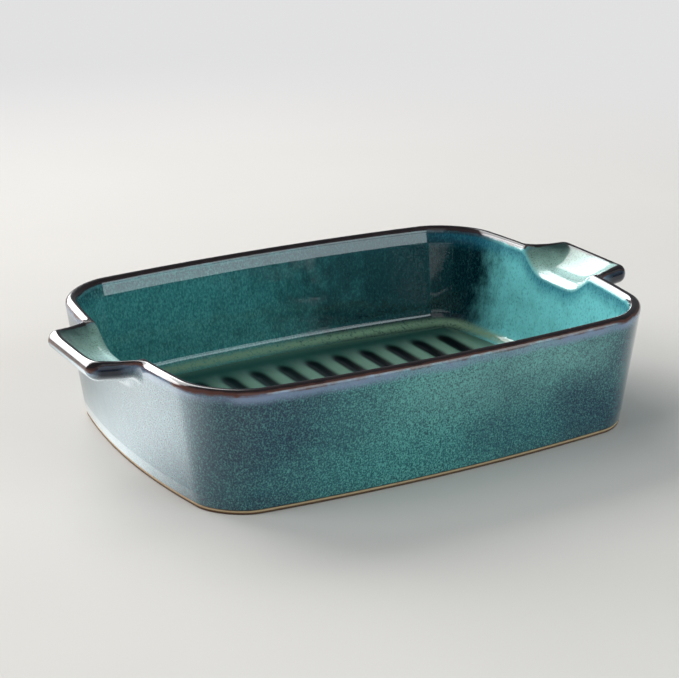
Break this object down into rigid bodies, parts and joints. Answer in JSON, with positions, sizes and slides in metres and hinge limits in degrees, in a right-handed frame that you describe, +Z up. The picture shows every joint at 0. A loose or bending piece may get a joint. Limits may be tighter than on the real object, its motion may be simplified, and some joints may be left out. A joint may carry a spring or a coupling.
{
  "type": "baking dish",
  "caption": "Rectangular stoneware baking dish with bowed rounded walls, a grooved floor, a bare foot ring and a scooped handle at each end, in a teal reactive glaze.",
  "frame": {"origin": "on the table, under the middle of the dish", "axes": "+X along the length towards the right-hand handle, +Y towards the back long wall, +Z up"},
  "size_m": [0.38, 0.244, 0.0783],
  "materials": {
    "wall_glaze": "glossy mottled teal reactive glaze that breaks brown on the rim",
    "floor_glaze": "glossy green glaze, pooled dark in the grooves",
    "handle_glaze": "glossy sage glaze in the scoop, brown on the edges",
    "bare_clay": "unglazed tan stoneware"
  },
  "bodies": {
    "root": {"foot_ring": "bare_clay", "floor_slab": "floor_glaze", "wall_front": "wall_glaze", "wall_back": "wall_glaze", "wall_left": "wall_glaze", "wall_right": "wall_glaze", "handle_left": "handle_glaze", "handle_right": "handle_glaze"}
  },
  "joints": []
}
